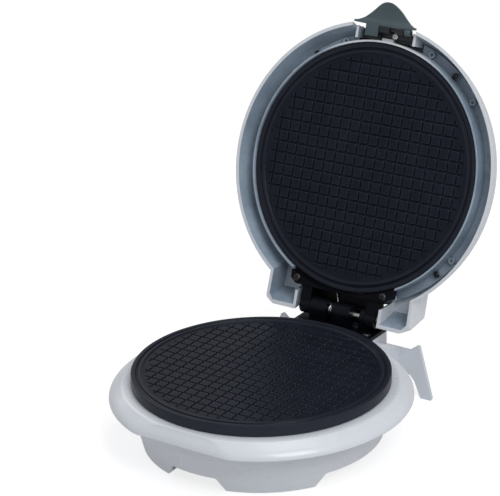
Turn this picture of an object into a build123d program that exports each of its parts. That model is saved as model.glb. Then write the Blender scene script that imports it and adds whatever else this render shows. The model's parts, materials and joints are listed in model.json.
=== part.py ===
from build123d import *
import math
import os

# Waffle cone maker: a round two-plate iron with a hinged lid and a swing latch.
# The frame: origin on the table under the plates' centre, +Z up, +Y towards the hinge, -Y towards the
# latch.  All sizes are in millimetres.  The lid's pieces are drawn with the lid closed and are written
# with the lid leaning back on its stop.

os.makedirs("parts", exist_ok=True)

# ---------------------------------------------------------------- driving dimensions
plate_r = 95.0          # outer radius of both baking plates
plate_top = 56.0        # baking face of the lower plate above the table
plate_wall = 8.5        # height of a plate's visible rim
plate_gap = 0.3         # between the two faces with the lid closed
deck_z = 47.5           # top of the base's deck
rim_r = 111.4           # widest radius of base and lid
flat_y = 104.4          # flat front of the base's rim
wall = 2.5              # moulded wall thickness
skirt_z = 10.5          # lower edge of the skirt between the feet
axis_y = 111.5          # hinge axis behind the plates' centre
axis_z = 59.8           # hinge axis above the table
open_angle = 108.9      # lid's travel from closed to its stop
hub_r = 7.0             # hinge knuckles
pin_r = 2.5             # hinge pin
running = 0.05          # radial clearance of a turning fit
grid_pitch = 8.72       # waffle squares
groove_w = 1.7          # waffle groove width at the face
groove_d = 1.6          # waffle groove depth
element_r = 62.0        # heating element's ring radius
tube_r = 3.3            # heating element's tube radius
screw_r = 1.5           # small screws
bush_x = 15.55          # bush for the leads that cross the hinge
latch_y = -106.0        # latch pivot, lid closed
latch_z = 55.5
latch_pin_r = 1.25

lid_rim_z = 52.9        # lid's lower edge, lid closed
upper_face = plate_top + plate_gap
upper_back = upper_face + 9.2      # back of the upper plate's flange
hinge_point = Location((0, axis_y, axis_z))
lid_open = hinge_point * Location((0, 0, 0), (-open_angle, 0, 0)) * hinge_point.inverse()
seated = Location((0, 0, 0))


# ---------------------------------------------------------------- shared helpers
def outline(plane, *points):
    """A flat face on a plane from the corners of its outline."""
    with BuildSketch(plane) as sketch:
        with BuildLine():
            Polyline(*points, close=True)
        make_face()
    return sketch.sketch


def soft_outline(plane, radius, *points):
    """A flat face on a plane whose corners are all rounded by one radius."""
    with BuildSketch(plane) as sketch:
        with BuildLine():
            FilletPolyline(*points, radius=radius, close=True)
        make_face()
    return sketch.sketch


def turned(*points):
    """A solid of revolution about the plates' axis from (radius, height) corners."""
    with BuildPart() as body:
        revolve(outline(Plane.XZ, *points), axis=Axis.Z)
    return body.part


def block(x0, x1, y0, y1, z0, z1):
    """A box between two corners."""
    with BuildPart() as body:
        with BuildSketch(Plane.XY.offset(z0)):
            with Locations(((x0 + x1) / 2, (y0 + y1) / 2)):
                Rectangle(x1 - x0, y1 - y0)
        extrude(amount=z1 - z0)
    return body.part


def side_slab(x0, x1, profile):
    """A profile drawn looking along X, given its width from x0 to x1."""
    with BuildPart() as body:
        extrude(profile, amount=x1 - x0)
    return Pos(x0, 0, 0) * body.part


def polar(radius, degrees_from_front):
    """A point in plan, its angle counted from the front towards the right."""
    turn = math.radians(degrees_from_front)
    return (radius * math.sin(turn), -radius * math.cos(turn))


def post(x, y, z0, z1, radius):
    """A round upright post."""
    with BuildPart() as body:
        with BuildSketch(Plane.XY.offset(z0)):
            with Locations((x, y)):
                Circle(radius)
        extrude(amount=z1 - z0)
    return body.part


def cross_rod(x0, x1, y, z, radius):
    """A round rod along X."""
    with BuildPart() as body:
        with BuildSketch(Plane.YZ.offset(x0)):
            with Locations((y, z)):
                Circle(radius)
        extrude(amount=x1 - x0)
    return body.part


def screw(x, y, head_z, length, head_r=3.0, shank_r=screw_r, head_h=1.9, up=True):
    """A pan-head screw on a vertical axis; its shank points up or down from under the head."""
    with BuildPart() as body:
        with BuildSketch(Plane.XZ):
            with BuildLine():
                Line((0, -head_h), (head_r * 0.55, -head_h))
                ThreePointArc((head_r * 0.55, -head_h), (head_r * 0.9, -head_h * 0.72), (head_r, 0))
                Polyline((head_r, 0), (shank_r, 0), (shank_r, length - 1), (shank_r * 0.5, length))
                Polyline((shank_r * 0.5, length), (0, length), (0, -head_h))
            make_face()
        revolve(axis=Axis.Z)
        with BuildSketch(Plane.XY.offset(-head_h)):
            Rectangle(head_r * 1.1, head_r * 0.28)
            Rectangle(head_r * 0.28, head_r * 1.1)
        extrude(amount=head_h * 0.5, mode=Mode.SUBTRACT)
    turned_over = Location((0, 0, 0), (0 if up else 180, 0, 0))
    return Pos(x, y, head_z) * turned_over * body.part


def write(piece, name, place=seated):
    """Label a finished piece, put it in its resting place and write its file."""
    piece.part.label = name
    export_step(place * piece.part, f"parts/{name}.step")


def waffle_grooves(face_z, depth):
    """The crossed grooves of a baking face, cut upwards (positive depth) from its plane."""
    reach = plate_r - 12.0
    lines = int(reach / grid_pitch)
    with BuildPart() as cut:
        with BuildSketch(Plane.XY.offset(face_z)):
            for index in range(-lines, lines + 1):
                offset_x = index * grid_pitch
                half = math.sqrt(reach**2 - offset_x**2)
                with Locations((offset_x, 0)):
                    Rectangle(groove_w, 2 * half)
                with Locations((0, offset_x)):
                    Rectangle(2 * half, groove_w)
        extrude(amount=depth)
    return cut.part


# ---------------------------------------------------------------- base housing
rim_corner = 25.0
neck_half = 46.0
fin_lean = math.degrees(math.atan2(5.8, 41.0))
fin_plane = Plane(
    origin=(0, 118.5, 0),
    x_dir=(-1, 0, 0),
    z_dir=(0, math.cos(math.radians(fin_lean)), -math.sin(math.radians(fin_lean))),
)
pad_angles = (38, -38, 142, -142)
cover_screw_angles = (0, 90, 180, 270)
plate_screw_angles = (45, 135, 225, 315)


# the rim from its lower edge up to the deck: height, radius, flat front
rim_sections = (
    (37.3, rim_r, flat_y),
    (39.2, 111.0, 104.1),
    (42.6, 108.3, 102.4),
    (45.6, 104.0, 100.2),
    (deck_z, 98.5, 97.6),
)


def rim_plan(radius, front):
    """The base's round plan with its flat front and soft corners."""
    half = math.sqrt(radius**2 - front**2)
    with BuildSketch() as plan:
        Circle(radius)
        with Locations((0, -front - 50)):
            Rectangle(300, 100, mode=Mode.SUBTRACT)
        corners = vertices().filter_by(lambda v: v.Y < 0 and abs(abs(v.X) - half) < 1)
        fillet(corners, radius=rim_corner)
    return plan.sketch


def rim_block(inset, drop):
    """The rim as a solid block under its convex skin, or its hollow when inset and dropped."""
    with BuildPart() as body:
        for height, radius, front in rim_sections:
            with BuildSketch(Plane.XY.offset(height - drop)):
                add(rim_plan(radius - inset, front - inset))
        loft()
    return body.part


with BuildPart() as base_housing:
    add(rim_block(0, 0))
    add(rim_block(wall, wall), mode=Mode.SUBTRACT)
    # skirt, running down into the hollow feet
    revolve(
        outline(
            Plane.XZ,
            (90.4, deck_z - 1.0), (93.0, deck_z - 1.0), (92.5, 25), (90, skirt_z), (87.6, 0.8), (76, 0.8),
            (76, skirt_z), (78, skirt_z), (78, 3.6), (84.9, 3.6), (87.5, skirt_z), (90, 25),
        ),
        axis=Axis.Z,
    )
    with BuildSketch(Plane.XY.offset(30)):
        Circle(89)
    extrude(amount=30, mode=Mode.SUBTRACT)
    # gaps between the feet: front, rear and both sides
    extrude(
        soft_outline(Plane.XZ, 3.0, (-29, -6), (29, -6), (18.5, skirt_z), (-18.5, skirt_z)),
        amount=150, both=True, mode=Mode.SUBTRACT,
    )
    extrude(
        soft_outline(Plane.YZ, 3.0, (-50, -6), (50, -6), (41.0, skirt_z), (-41.0, skirt_z)),
        amount=150, both=True, mode=Mode.SUBTRACT,
    )
    # neck that carries the hinge, with its hollow open to the inside of the base
    with BuildSketch(Plane.YZ):
        with BuildLine():
            Line((91, deck_z), (98, deck_z))
            ThreePointArc((98, deck_z), (111.5, 42.4), (124.6, 35.2))
            Polyline((124.6, 35.2), (122.0, 17), (91, 17), (91, deck_z))
        make_face()
    extrude(amount=neck_half, both=True)
    add(block(-34, 34, 95, 123.6, 30, deck_z))
    extrude(
        outline(Plane.YZ, (80, 19.5), (119.2, 19.5), (121.2, 33.6), (109.5, 40.2), (97, 44.6), (80, 44.6)),
        amount=neck_half - wall, both=True, mode=Mode.SUBTRACT,
    )
    add(block(-31.5, 31.5, 88, 121.1, 30, deck_z - wall), mode=Mode.SUBTRACT)
    # rear fin: cheek of the cord store, its horns and its two legs
    extrude(
        soft_outline(
            fin_plane, 1.6,
            (-54, 35.8), (-61.5, 41.6), (-76.0, 2.0), (-75.2, -1.5), (-67.6, -1.5), (-60.5, 12.1),
            (-56, 16.6), (-47, 18.6), (47, 18.6), (56, 16.6), (60.5, 12.1), (67.6, -1.5),
            (75.2, -1.5), (76.0, 2.0), (61.5, 41.6), (54, 35.8),
        ),
        amount=3.0,
    )
    # bosses: cover screws, plate lugs
    for angle in cover_screw_angles:
        add(post(*polar(84.5, angle), 13.0, 24.0, 4.6))
    for angle in plate_screw_angles:
        with Locations(Location((0, 0, 0), (0, 0, angle))):
            add(block(-6, 6, -91, -73, 33.8, 36.8))
    with Locations((0, 0, -20)):
        Box(400, 400, 20, align=(Align.CENTER, Align.CENTER, Align.MIN), mode=Mode.SUBTRACT)
    # holes
    for angle in cover_screw_angles:
        add(post(*polar(83, angle), 12.0, 23.0, screw_r), mode=Mode.SUBTRACT)
    for angle in plate_screw_angles:
        add(post(*polar(79, angle), 30.0, 40.0, 2.0), mode=Mode.SUBTRACT)
    for angle in pad_angles:
        add(post(*polar(81.4, angle), -1.0, 5.0, 2.0), mode=Mode.SUBTRACT)
    for side in (-1, 1):
        add(post(side * 29.5, 100.5, 40, 50, screw_r), mode=Mode.SUBTRACT)
    add(post(bush_x, axis_y, 40, 50, 3.5), mode=Mode.SUBTRACT)
    with BuildSketch(Plane.XZ.offset(-128)):
        with Locations((0, 26)):
            Circle(5.2)
    extrude(amount=14, mode=Mode.SUBTRACT)
write(base_housing, "base_housing")

# ---------------------------------------------------------------- base: feet, cover, fastenings
with BuildPart() as foot_pads:
    for angle in pad_angles:
        foot_x, foot_y = polar(81.4, angle)
        add(post(foot_x, foot_y, 0, 0.8, 4.6))
        add(post(foot_x, foot_y, 0.8, 3.6, 2.0))
        add(post(foot_x, foot_y, 3.6, 4.8, 2.6))
    fillet(edges().filter_by(GeomType.CIRCLE).group_by(Axis.Z)[0], radius=0.35)
write(foot_pads, "foot_pads")

cover_r = 86.4
with BuildPart() as bottom_cover:
    with BuildSketch(Plane.XY.offset(skirt_z + 0.3)):
        Circle(cover_r)
        with PolarLocations(52, 16):
            SlotOverall(26, 4)
        with PolarLocations(20, 8):
            SlotOverall(14, 3.4)
    extrude(amount=2.2)
    with BuildSketch(Plane.XY.offset(skirt_z + 0.3)):
        Circle(cover_r)
        with PolarLocations(52, 16):
            SlotOverall(26, 4, mode=Mode.SUBTRACT)
        with PolarLocations(20, 8):
            SlotOverall(14, 3.4, mode=Mode.SUBTRACT)
        with Locations(*[polar(83, angle) for angle in cover_screw_angles]):
            Circle(screw_r + 0.1, mode=Mode.SUBTRACT)
    extrude(amount=2.2, mode=Mode.INTERSECT)
    add(turned((70, 13.0), (71.6, 13.0), (71.6, 16), (70, 16)))
write(bottom_cover, "bottom_cover")

with BuildPart() as cover_screws:
    for angle in cover_screw_angles:
        add(screw(*polar(83, angle), skirt_z + 0.3, 11.5))
write(cover_screws, "cover_screws")

# ---------------------------------------------------------------- lower plate and its heater
plate_ring = (
    (plate_r, 0), (91.6, 0), (91.1, 1.3), (90.0, 1.3), (89.4, 0), (87.6, 0), (86.6, 1.0), (0, 1.0),
)


def baking_plate(face, way, flange):
    """A baking plate; its face is at height face and its back lies in direction way (-1 down, 1 up)."""
    profile = [(radius, face + way * depth) for radius, depth in plate_ring]
    back = [(0, 13.0), (54.0, 13.0), (54.0, 16.0), (57.6, 16.0), (57.6, 12.7), (66.4, 12.7), (66.4, 16.0),
            (70.0, 16.0), (70.0, 13.0), (86.0, 13.0),
            (86.0, flange), (93.9, flange), (plate_r, flange - 1.1)]
    profile += [(radius, face + way * depth) for radius, depth in back]
    return turned(*profile)


with BuildPart() as lower_plate:
    add(baking_plate(plate_top, -1, plate_wall))
    add(waffle_grooves(plate_top - 1.0, -groove_d), mode=Mode.SUBTRACT)
    with BuildSketch(Plane.XY.offset(36.9)):
        with Locations(*[polar(79, angle) for angle in plate_screw_angles]):
            Circle(5)
    extrude(amount=8)
    with BuildSketch(Plane.XY.offset(36.0)):
        with Locations(*[polar(79, angle) for angle in plate_screw_angles]):
            Circle(2.0)
    extrude(amount=12, mode=Mode.SUBTRACT)
write(lower_plate, "lower_plate")

with BuildPart() as lower_plate_screws:
    for angle in plate_screw_angles:
        add(screw(*polar(79, angle), 33.8, 12.5, head_r=3.6, shank_r=2.0, head_h=2.3))
write(lower_plate_screws, "lower_plate_screws")


def heater(height, way, gap=40):
    """A tubular ring with a gap at the rear; its two cold ends turn away from the plate."""
    start = 90 + gap / 2
    ends = [
        (element_r * math.cos(math.radians(turn)), element_r * math.sin(math.radians(turn)))
        for turn in (start, 90 - gap / 2)
    ]
    with BuildPart() as body:
        with BuildLine():
            CenterArc((0, 0, height), element_r, start, 360 - gap)
        with BuildSketch(Plane(origin=(*ends[0], height), z_dir=(-ends[0][1], ends[0][0], 0))):
            Circle(tube_r)
        sweep()
        for x, y in ends:
            with BuildSketch(Plane.XY.offset(height)):
                with Locations((x, y)):
                    Circle(tube_r)
            extrude(amount=way * 9)
            with BuildSketch(Plane.XY.offset(height + way * 9)):
                with Locations((x, y)):
                    Circle(1.4)
            extrude(amount=way * 5)
            with Locations((x, y, height)):
                Sphere(tube_r)
    return body.part


lower_heater_z = plate_top - 12.7 - tube_r
with BuildPart() as lower_heating_element:
    add(heater(lower_heater_z, -1))
write(lower_heating_element, "lower_heating_element")

reflector_holes = [polar(element_r, 180 - 20), polar(element_r, 180 + 20)]
with BuildPart() as lower_reflector:
    revolve(
        outline(
            Plane.XZ, (0, 30.2), (68, 30.2), (71.4, 36.0), (72.4, 36.0), (68.8, 29.2), (0, 29.2)
        ),
        axis=Axis.Z,
    )
    with BuildSketch(Plane.XY.offset(28)):
        with Locations(*reflector_holes):
            Circle(5)
        Circle(14)
    extrude(amount=4, mode=Mode.SUBTRACT)
write(lower_reflector, "lower_reflector")

with BuildPart() as thermostat:
    add(post(0, 0, 35.6, plate_top - 13.0, 8.0))
    add(post(0, 0, 29.0, 35.6, 10.5))
    for side in (-1, 1):
        add(block(side * 6 - 2.4, side * 6 + 2.4, -0.4, 0.4, 21.0, 29.0))
write(thermostat, "thermostat")

with BuildPart() as thermal_fuse:
    add(cross_rod(-8, 8, 34, 41.2, 1.8))
    add(cross_rod(-20, -8, 34, 41.2, 0.5))
    add(cross_rod(8, 20, 34, 41.2, 0.5))
write(thermal_fuse, "thermal_fuse")

with BuildPart() as terminal_block:
    add(block(-17, 17, 52.5, 66.5, 13.0, 25.0))
    with BuildSketch(Plane.XY.offset(25.0)):
        with Locations(*[(x, y) for x in (-11, 0, 11) for y in (56.0, 63.0)]):
            Circle(2.0)
    extrude(amount=-5.0, mode=Mode.SUBTRACT)
write(terminal_block, "terminal_block")

lead_r = 1.3


def lead(points, radii):
    """An insulated lead along a path of straight runs and arcs."""
    with BuildPart() as body:
        with BuildLine() as route:
            FilletPolyline(*points, radius=radii)
        with BuildSketch(Plane(origin=points[0], z_dir=route.line % 0)):
            Circle(lead_r)
        sweep()
    return body.part


end_x, end_y = polar(element_r, 160)
with BuildPart() as base_leads:
    for side in (-1, 1):
        route = [(3, 106, 26), (12, 92, 24.5), (11.5, 82, 22), (11, 73, 19), (11, 66.5, 19)]
        add(lead([(side * x, y, z) for x, y, z in route], 10))
    for side in (-1, 1):
        add(
            lead(
                [
                    (side * 14, 66.5, 22), (side * 14, 72, 22),
                    (side * 24, 72, 22), (side * end_x, end_y, 22),
                ],
                2.4,
            )
        )
write(base_leads, "base_leads")

with BuildPart() as cord_gland:
    with BuildSketch(Plane.XZ.offset(-117.4)):
        with Locations((0, 26)):
            Circle(5.1)
    extrude(amount=-10)
    with BuildSketch(Plane.XZ.offset(-126.6)):
        with Locations((0, 26)):
            Circle(7.0)
    extrude(amount=-3.0)
    with BuildSketch(Plane.XZ.offset(-110)):
        with Locations((0, 26)):
            Circle(3.6)
    extrude(amount=-25, mode=Mode.SUBTRACT)
write(cord_gland, "cord_gland")

# ---------------------------------------------------------------- hinge, base side
bracket_x = 35.0
base_knuckles = ((-24.0, -9.8), (-4.5, 10.8), (20.3, 24.0))
rear_wall_top = 60.5
with BuildPart() as base_hinge_bracket:
    add(block(-bracket_x, bracket_x, 96.2, 123.6, deck_z, deck_z + 3))
    add(
        side_slab(
            -33, 33,
            outline(
                Plane.YZ, (120.6, deck_z), (123.6, deck_z), (123.6, rear_wall_top), (120.6, rear_wall_top)
            ),
        )
    )
    for x0, x1 in base_knuckles:
        add(cross_rod(x0, x1, axis_y, axis_z, hub_r))
        add(block(x0, x1, axis_y - hub_r, axis_y + hub_r, deck_z + 1, axis_z))
    add(cross_rod(-40, 40, axis_y, axis_z, pin_r), mode=Mode.SUBTRACT)
    add(block(-60, 60, 90, 96.9, 40, 70), mode=Mode.SUBTRACT)
    for side in (-1, 1):
        add(post(side * 29.5, 100.5, 40, 55, screw_r + 0.2), mode=Mode.SUBTRACT)
    add(post(bush_x, axis_y, 40, 55, 3.5), mode=Mode.SUBTRACT)
write(base_hinge_bracket, "base_hinge_bracket")

with BuildPart() as base_bracket_screws:
    for side in (-1, 1):
        add(screw(side * 29.5, 100.5, deck_z + 3, 9.0, up=False))
write(base_bracket_screws, "base_bracket_screws")

with BuildPart() as hinge_pin:
    add(cross_rod(-35.4, 33.6, axis_y, axis_z, pin_r))
    add(cross_rod(33.6, 35.3, axis_y, axis_z, 4.2))
    fillet(edges().filter_by(GeomType.CIRCLE).group_by(Axis.X)[-1], radius=0.6)
write(hinge_pin, "hinge_pin")

with BuildPart() as hinge_pin_clip:
    with BuildSketch(Plane.YZ.offset(-34.6)):
        with Locations((axis_y, axis_z)):
            Circle(4.6)
            Circle(pin_r, mode=Mode.SUBTRACT)
        with Locations((axis_y, axis_z + 4)):
            Rectangle(3.2, 6, mode=Mode.SUBTRACT)
    extrude(amount=0.9)
write(hinge_pin_clip, "hinge_pin_clip")

with BuildPart() as base_lead_bush:
    with BuildSketch(Plane.XY.offset(44.0)):
        with Locations((bush_x, axis_y)):
            Circle(3.4)
            Circle(2.0, mode=Mode.SUBTRACT)
    extrude(amount=10.5)
    with BuildSketch(Plane.XY.offset(deck_z + 3)):
        with Locations((bush_x, axis_y)):
            Circle(4.4)
            Circle(2.0, mode=Mode.SUBTRACT)
    extrude(amount=1.4)
write(base_lead_bush, "base_lead_bush")

# ---------------------------------------------------------------- lid shell
lug_in = 36.0
lug_out = 62.8
lug_back = 116.6
lug_roof = 76.5
lug_soft = 3.4
shoulder = (107.6, 65.5)     # top of the lid's straight side: radius, height
shoulder_r = 18.0            # bend between side and crown
crown_z = 94.0
side_lean = math.atan2(rim_r - shoulder[0], shoulder[1] - lid_rim_z)
shoulder_c = (
    shoulder[0] - shoulder_r * math.cos(side_lean),
    shoulder[1] - shoulder_r * math.sin(side_lean),
)
crown_r = (shoulder_c[0] ** 2 + (crown_z - shoulder_c[1]) ** 2 - shoulder_r**2) / (
    2 * (crown_z - shoulder_c[1] - shoulder_r)
)
join_angle = math.asin(shoulder_c[0] / (crown_r - shoulder_r))


def on_arc(centre, radius, turn):
    """The point of a circle at an angle, in radians, from the outward radius."""
    return (centre[0] + radius * math.cos(turn), centre[1] + radius * math.sin(turn))


def lid_dome(inset):
    """The lid's outer form, or its hollow when inset by the wall thickness."""
    low = lid_rim_z if inset == 0 else lid_rim_z - 5
    crown_turn = math.pi / 2 - join_angle
    crown_c = (0, crown_z - crown_r)
    side_top = on_arc(shoulder_c, shoulder_r - inset, side_lean)
    side_foot = (side_top[0] + math.tan(side_lean) * (side_top[1] - low), low)
    bend_mid = on_arc(shoulder_c, shoulder_r - inset, (side_lean + crown_turn) / 2)
    join = on_arc(shoulder_c, shoulder_r - inset, crown_turn)
    crown_mid = on_arc(crown_c, crown_r - inset, math.pi / 2 - join_angle / 2)
    crown_top = (0, crown_z - inset)
    with BuildPart() as body:
        with BuildSketch(Plane.XZ):
            with BuildLine():
                Line(side_foot, side_top)
                ThreePointArc(side_top, bend_mid, join)
                ThreePointArc(join, crown_mid, crown_top)
                Polyline(crown_top, (0, low), side_foot)
            make_face()
        revolve(axis=Axis.Z)
    return body.part


def lug(side, inset):
    """One of the two rear lugs that carry the lid past the hinge, or its hollow."""
    low = lid_rim_z if inset == 0 else lid_rim_z - 5
    foot = lug_back - inset if inset == 0 else lug_back - inset * 1.1 + 2.2
    roof = lug_roof - inset
    corner = (lug_out - 6, lug_back - inset)
    with BuildPart() as plan:
        with BuildSketch(Plane.XY.offset(low)):
            with BuildLine():
                Polyline(
                    (lug_in + inset, 80), (lug_in + inset, 130), (corner[0], 130), corner,
                    (lug_out + 0.6 - inset, corner[1] - 4.5), (lug_out - inset, 80), close=True,
                )
            make_face()
            if inset:
                fillet(vertices().filter_by(lambda v: v.X > lug_out - 8 and 100 < v.Y < 125), radius=1.6)
        extrude(amount=40)
        drafted_back = outline(Plane.YZ, (80, low), (foot, low), (corner[1] - 10.5, roof), (80, roof))
        add(side_slab(0, 90, drafted_back), mode=Mode.INTERSECT)
        if inset == 0:
            outer = edges().filter_by(lambda e: e.center().X > lug_out - 8 and e.center().Y > 100)
            fillet(outer.filter_by(lambda e: abs(e.center().Z - low) > 1), radius=lug_soft)
    return plan.part if side > 0 else mirror(plan.part, about=Plane.YZ)


notch_roof = 66.2
frame_screw_angles = (37, 133, -37, -133)
frame_screw_r = 99.9
floor_z = 68.0              # bottom of the channel between lid and upper plate, lid closed
floor_back = floor_z + 1.5
ear_top = 61.0
ear_screws = ((-38.0, 92.4), (38.0, 92.4))
latch_screw = (7.8, -102.0)
lamp_y = -70.0
lamp_tilt = math.degrees(math.asin(-lamp_y / crown_r))
lamp_z = crown_z - crown_r * (1 - math.cos(math.radians(lamp_tilt)))
lamp_places = {
    "power_lamp_lens": Location((-9, lamp_y, lamp_z), (lamp_tilt, 0, 0)),
    "ready_lamp_lens": Location((9, lamp_y, lamp_z), (lamp_tilt, 0, 0)),
}

with BuildPart() as lid_inner_walls:
    # wall above the hinge arms, seat of the latch mount, cheeks of the latch notch, screw posts
    add(block(-lug_in - 1, lug_in + 1, 95.1, 97.6, 68.4, 80))
    add(block(-24, 24, -106, -97.4, notch_roof, 80))
    for side in (-1, 1):
        add(block(*sorted((side * 23.7, side * 25.9)), -108, -96.6, 57.0, 80.0))
    for angle in frame_screw_angles:
        add(post(*polar(frame_screw_r, angle), floor_back + 0.1, 85, 3.0))
    for x, y in ear_screws:
        add(post(x, y, ear_top, 85, 3.4))
    add(lid_dome(wall / 2), mode=Mode.INTERSECT)

with BuildPart() as lid_shell:
    add(lid_dome(0))
    for side in (-1, 1):
        add(lug(side, 0))
    add(lid_dome(wall), mode=Mode.SUBTRACT)
    for side in (-1, 1):
        add(lug(side, wall), mode=Mode.SUBTRACT)
    # hinge notch: opening in the rear wall
    add(block(-lug_in, lug_in, 97.6, 125, 40, 85), mode=Mode.SUBTRACT)
    # latch notch: narrow above, wider at the rim
    add(block(-23.7, 23.7, -120, -97.4, 40, notch_roof), mode=Mode.SUBTRACT)
    add(block(-27.5, 27.5, -120, -104, 40, 62.5), mode=Mode.SUBTRACT)
    add(lid_inner_walls.part)
    for angle in frame_screw_angles:
        add(post(*polar(frame_screw_r, angle), 69.0, 74.0, 1.2), mode=Mode.SUBTRACT)
    for x, y in ear_screws:
        add(post(x, y, ear_top - 1, 69.0, screw_r), mode=Mode.SUBTRACT)
    add(post(*latch_screw, 60, 69.5, screw_r), mode=Mode.SUBTRACT)
    for place in lamp_places.values():
        with Locations(place):
            Cylinder(3.1, 12, mode=Mode.SUBTRACT)
write(lid_shell, "lid_shell", lid_open)

# ---------------------------------------------------------------- lid inner frame
frame_boss_angles = (22, 37, 51, 124, 133)
with BuildPart() as lid_inner_frame:
    revolve(
        outline(
            Plane.XZ,
            (95.7, 55.0), (97.2, 55.0), (97.2, floor_z),
            (103.2, floor_z), (102.3, floor_back), (95.7, floor_back),
        ),
        axis=Axis.Z,
    )
    for angle in frame_boss_angles + tuple(-angle for angle in frame_boss_angles):
        add(post(*polar(frame_screw_r, angle), floor_z - 3.5, floor_back, 2.6))
    for angle in frame_screw_angles:
        add(post(*polar(frame_screw_r, angle), 60.0, 70.0, 1.3), mode=Mode.SUBTRACT)
    for angle in (22, -22, 51, -51, 124, -124):
        add(post(*polar(frame_screw_r, angle), floor_z - 4.0, floor_z - 1.0, 1.3), mode=Mode.SUBTRACT)
    # left open over the hinge; only the lip runs on past the latch mount
    add(block(-37.3, 37.3, 60, 130, 40, 80), mode=Mode.SUBTRACT)
    add(block(-45, 45, 60, 130, 40, 62.0), mode=Mode.SUBTRACT)
    for x, y in ear_screws:
        add(post(x, y, 60, 80, 4.2), mode=Mode.SUBTRACT)
    add(block(-28, 28, -130, -60, floor_z - 5.0, 80), mode=Mode.SUBTRACT)
    add(block(-32.0, -29.6, -101.5, -96.0, 60, 75), mode=Mode.SUBTRACT)
    # tab on the lip under the latch screw
    add(block(-4.0, 5.7, -99.3, -96.4, 60.0, 62.6))
write(lid_inner_frame, "lid_inner_frame", lid_open)

with BuildPart() as lid_frame_screws:
    for angle in frame_screw_angles:
        add(screw(*polar(frame_screw_r, angle), floor_z - 3.5, 8.6, head_r=2.4, shank_r=1.2, head_h=1.5))
write(lid_frame_screws, "lid_frame_screws", lid_open)

# ---------------------------------------------------------------- upper plate and its heater
clip_angles = (30, 150, -30, -150)
clip_screw_r = 82.6
clip_z = floor_back
with BuildPart() as upper_plate:
    add(baking_plate(upper_face, 1, upper_back - upper_face))
    add(waffle_grooves(upper_face + 1.0, groove_d), mode=Mode.SUBTRACT)
    with BuildSketch(Plane.XY.offset(clip_z - 6.0)):
        with Locations(*[polar(clip_screw_r, angle) for angle in clip_angles]):
            Circle(1.2)
    extrude(amount=8, mode=Mode.SUBTRACT)
write(upper_plate, "upper_plate", lid_open)

with BuildPart() as upper_plate_clips:
    for angle in clip_angles:
        with Locations(Location((0, 0, 0), (0, 0, angle))):
            add(block(-4.5, 4.5, -99.5, -79.0, clip_z, clip_z + 1.0))
    for angle in clip_angles:
        add(post(*polar(clip_screw_r, angle), 60, 75, 1.3), mode=Mode.SUBTRACT)
write(upper_plate_clips, "upper_plate_clips", lid_open)

with BuildPart() as upper_plate_screws:
    for angle in clip_angles:
        add(screw(*polar(clip_screw_r, angle), clip_z + 1.0, 6.0, 2.4, shank_r=1.2, head_h=1.5, up=False))
write(upper_plate_screws, "upper_plate_screws", lid_open)

upper_heater_z = upper_face + 12.7 + tube_r
with BuildPart() as upper_heating_element:
    add(heater(upper_heater_z, 1, gap=40))
    add(turned((0, 81.0), (75, 81.0), (75, 95), (0, 95)), mode=Mode.SUBTRACT)
write(upper_heating_element, "upper_heating_element", lid_open)

with BuildPart() as upper_reflector:
    revolve(
        outline(Plane.XZ, (0, 77.4), (70.4, 77.4), (71.8, 74.0), (72.8, 74.0), (71.2, 78.3), (0, 78.3)),
        axis=Axis.Z,
    )
    with BuildSketch(Plane.XY.offset(75)):
        with Locations(*reflector_holes):
            Circle(5)
        Circle(14)
    extrude(amount=5, mode=Mode.SUBTRACT)
write(upper_reflector, "upper_reflector", lid_open)

with BuildPart() as upper_thermal_cutoff:
    add(post(0, 0, upper_face + 13.0, 76.0, 8.0))
    add(post(0, 0, 76.0, 82.0, 10.5))
    for side in (-1, 1):
        add(block(side * 6 - 2.4, side * 6 + 2.4, -0.4, 0.4, 82.0, 88.0))
write(upper_thermal_cutoff, "upper_thermal_cutoff", lid_open)

with BuildPart() as lid_leads:
    for side in (-1, 1):
        add(
            lead(
                [
                    (side * 6, 2.0, 85.4), (side * 8, 22, 84.6),
                    (side * end_x, 46, 83.2), (side * end_x, end_y, 82.5),
                ],
                12,
            )
        )
write(lid_leads, "lid_leads", lid_open)

# ---------------------------------------------------------------- indicator lamps on the dome
for lamp_name, lamp_place in lamp_places.items():
    with BuildPart() as lamp_lens:
        with BuildSketch(Plane.XZ):
            with BuildLine():
                Polyline((0, 1.9), (0, -6.0), (3.0, -6.0), (3.0, 0.15), (4.4, 0.15), (4.4, 0.8))
                TangentArc((0, 1.9), (4.4, 0.8), tangent=(1, 0))
            make_face()
        revolve(axis=Axis.Z)
    write(lamp_lens, lamp_name, lid_open * lamp_place)

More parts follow.
